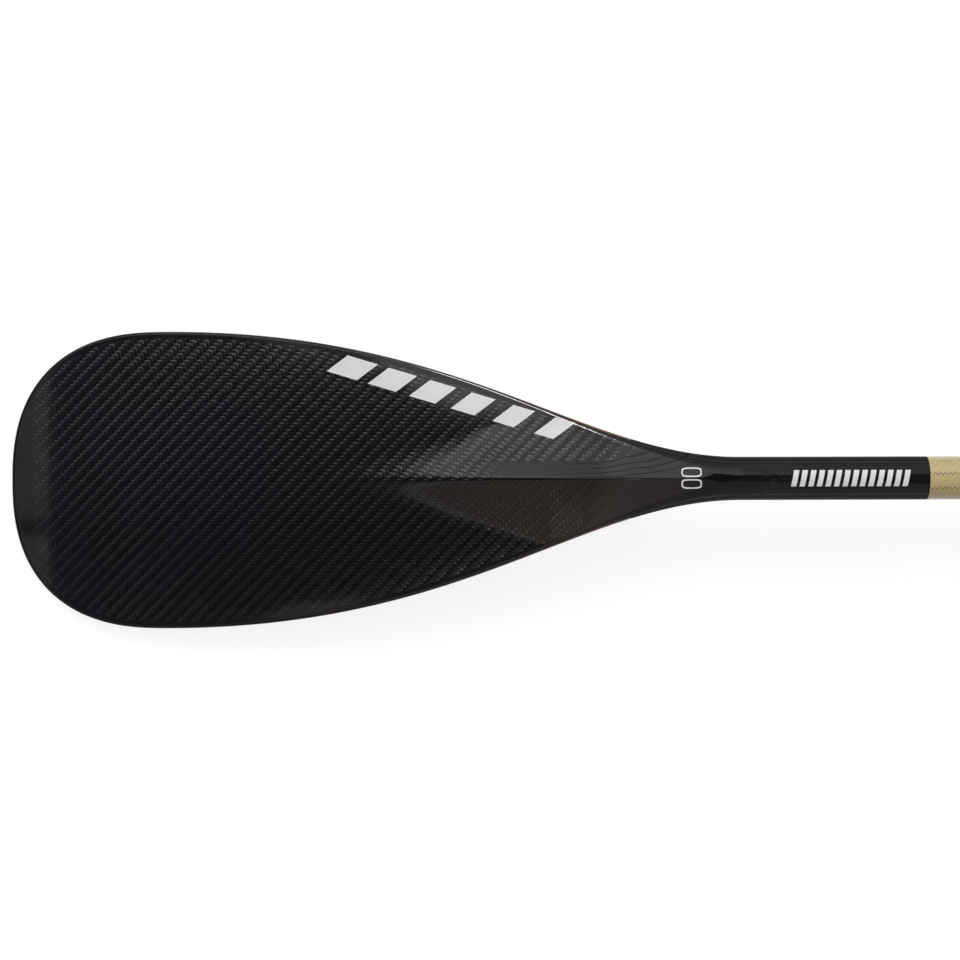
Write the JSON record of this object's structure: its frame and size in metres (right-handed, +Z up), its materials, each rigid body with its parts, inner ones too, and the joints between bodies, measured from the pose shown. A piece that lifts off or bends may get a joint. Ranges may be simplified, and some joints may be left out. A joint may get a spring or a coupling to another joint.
{
  "type": "stand-up paddle",
  "caption": "Stand-up paddle with a raked carbon blade, a woven aramid shaft that telescopes in a cam-lever clamp, and a T grip.",
  "frame": {"origin": "middle of the floor area that the paddle covers when it lies power face up, on the floor", "axes": "+X runs from the blade's tip to the grip, +Y runs across the blade, +Z is up, out of the power face; the shaft falls 1.5 degrees towards the grip"},
  "size_m": [2.0908, 0.183, 0.0706],
  "materials": {
    "blade_laminate": "gloss",
    "edge_rail": "gloss",
    "core_foam": "closed-cell foam, matte",
    "plug_foam": "closed-cell foam, matte",
    "neck_paint": "gloss",
    "bare_laminate": "satin",
    "aramid_laminate": "gloss",
    "clamp_nylon": "satin",
    "lever_nylon": "satin",
    "knob_nylon": "satin",
    "stem_nylon": "satin",
    "acetal": "satin",
    "stainless_steel": "satin",
    "brass": "satin",
    "extension_laminate": "gloss",
    "grip_laminate": "satin"
  },
  "bodies": {
    "lower_paddle": {"power_face_skin": "blade_laminate", "back_face_skin": "blade_laminate", "blade_core": "core_foam", "edge_rail": "edge_rail", "neck_tube": "neck_paint", "neck_ferrule": "bare_laminate", "shaft_bulkhead": "plug_foam", "shaft_tube": "aramid_laminate", "clamp_collar": "clamp_nylon", "guide_ring": "acetal", "cam_saddle": "stainless_steel", "lever_barrel": "stainless_steel", "tension_bolt": "stainless_steel", "knob_washer": "stainless_steel"},
    "extension": {"extension_tube": "extension_laminate", "extension_bush": "acetal", "extension_plug": "plug_foam", "grip_stem": "stem_nylon", "grip_core": "core_foam", "grip_upper_shell": "grip_laminate", "grip_lower_shell": "grip_laminate"},
    "lever": {"cam_lever": "lever_nylon"},
    "knob": {"tension_knob": "knob_nylon", "knob_insert": "brass"}
  },
  "joints": [
    {"name": "extension_slide", "type": "slide", "parent": "lower_paddle", "child": "extension", "axis": [0.9997, 0, -0.0263], "range_m": [-0.4, 0]},
    {"name": "cam_lever_pivot", "type": "hinge", "parent": "lower_paddle", "child": "lever", "pos_m": [0.55367, -0.0161, 0.05067], "axis": [-0.9997, 0, 0.0263], "range_deg": [0, 120]},
    {"name": "tension_knob_turn", "type": "hinge", "parent": "lower_paddle", "child": "knob", "pos_m": [0.55367, 0.0081, 0.05067], "axis": [0, 1, 0], "continuous": true}
  ]
}
